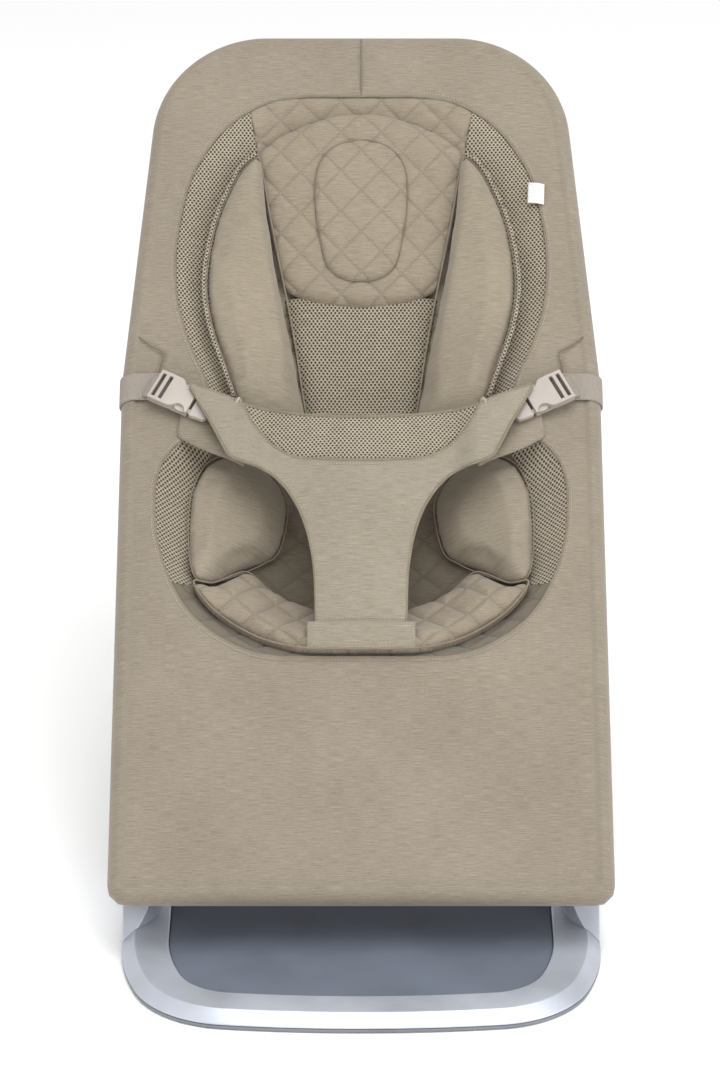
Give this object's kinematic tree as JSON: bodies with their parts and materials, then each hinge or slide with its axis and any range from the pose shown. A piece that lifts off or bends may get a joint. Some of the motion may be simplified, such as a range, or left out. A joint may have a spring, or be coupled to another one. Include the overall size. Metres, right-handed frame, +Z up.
{
  "type": "bouncer seat",
  "caption": "Folding bouncer seat: padded fabric sling with harness on a tube frame, carried by two sprung arms over a flat floor ring.",
  "frame": {"origin": "on the floor, under the middle of the whole object's box", "axes": "+Z up, -Y to the front (where the sitter's feet point), +X to the right as seen from the front"},
  "size_m": [0.432, 0.7932, 0.6183],
  "materials": {
    "bright_aluminium": "satin anodised",
    "frame_aluminium": "matt anodised",
    "dark_plastic": "fine textured",
    "panel_plastic": "smooth matt",
    "rubber": "matt",
    "steel": "zinc plated",
    "nylon": "natural nylon",
    "cover_fabric": "melange jersey",
    "quilt_fabric": "quilted jersey",
    "insert_fabric": "soft jersey",
    "mesh_fabric": "spacer mesh",
    "webbing": "woven webbing",
    "buckle_plastic": "satin moulded",
    "tag_fabric": "woven label"
  },
  "bodies": {
    "base": {"base_ring": "bright_aluminium", "base_sole": "dark_plastic", "base_panel": "panel_plastic", "rubber_feet": "rubber", "base_screws": "steel", "knuckle_left": "bright_aluminium", "knuckle_right": "bright_aluminium", "shaft_bush_left": "nylon", "shaft_bush_right": "nylon"},
    "carrier": {"cross_shaft": "steel", "recline_drum_left": "dark_plastic", "recline_drum_right": "dark_plastic", "torsion_bush_left": "rubber", "torsion_bush_right": "rubber"},
    "seat": {"arm_left": "frame_aluminium", "arm_right": "frame_aluminium", "arm_bolts": "steel", "side_tube_left": "frame_aluminium", "side_tube_right": "frame_aluminium", "front_tube": "frame_aluminium", "corner_left": "dark_plastic", "corner_right": "dark_plastic", "upper_leg_left": "frame_aluminium", "upper_leg_right": "frame_aluminium", "head_tube": "frame_aluminium", "elbow_left": "dark_plastic", "elbow_right": "dark_plastic", "elbow_rivets": "steel", "cover_front": "cover_fabric", "cover_back": "cover_fabric", "zip_tape": "dark_plastic", "side_tag": "tag_fabric", "pan_back": "quilt_fabric", "pan_seat": "quilt_fabric", "pan_mesh_left": "mesh_fabric", "pan_mesh_right": "mesh_fabric", "insert_centre": "mesh_fabric", "head_rest": "quilt_fabric", "head_pillow": "insert_fabric", "insert_wing_left": "insert_fabric", "insert_wing_right": "insert_fabric", "hip_wing_left": "insert_fabric", "hip_wing_right": "insert_fabric", "thigh_cushion": "quilt_fabric", "belt_panel": "cover_fabric", "waist_pad": "mesh_fabric", "crotch_band": "cover_fabric", "webbing_left": "webbing", "webbing_right": "webbing", "buckle_socket_left": "buckle_plastic", "buckle_socket_right": "buckle_plastic"},
    "button_left": {"release_button_left": "dark_plastic", "lock_gear_left": "steel", "button_spring_left": "steel"},
    "button_right": {"release_button_right": "dark_plastic", "lock_gear_right": "steel", "button_spring_right": "steel"},
    "tongue_left": {"buckle_tongue_left": "buckle_plastic"},
    "tongue_right": {"buckle_tongue_right": "buckle_plastic"},
    "zip_slider": {"zip_slider": "steel"}
  },
  "joints": [
    {"name": "recline", "type": "hinge", "parent": "base", "child": "carrier", "pos_m": [0, -0.16656, 0.055], "axis": [-1, 0, 0], "range_deg": [0, 34]},
    {"name": "bounce", "type": "hinge", "parent": "carrier", "child": "seat", "pos_m": [0, -0.16656, 0.055], "axis": [-1, 0, 0], "range_deg": [-3, 6], "stiffness_Nm_per_rad": 260, "springref_deg": -1.38},
    {"name": "press_left", "type": "slide", "parent": "base", "child": "button_left", "axis": [1, 0, 0], "range_m": [0, 0.0035], "stiffness_N_per_m": 600, "springref_m": -0.004, "deforming": ["button_spring_left"]},
    {"name": "press_right", "type": "slide", "parent": "base", "child": "button_right", "axis": [-1, 0, 0], "range_m": [0, 0.0035], "stiffness_N_per_m": 600, "springref_m": -0.004, "deforming": ["button_spring_right"]},
    {"name": "unlatch_left", "type": "slide", "parent": "seat", "child": "tongue_left", "axis": [0.891, -0.361, -0.2753], "range_m": [0, 0.025]},
    {"name": "unlatch_right", "type": "slide", "parent": "seat", "child": "tongue_right", "axis": [-0.891, -0.361, -0.2753], "range_m": [0, 0.025]},
    {"name": "zip", "type": "slide", "parent": "seat", "child": "zip_slider", "axis": [1, 0, 0], "range_m": [0, 0.26]}
  ]
}
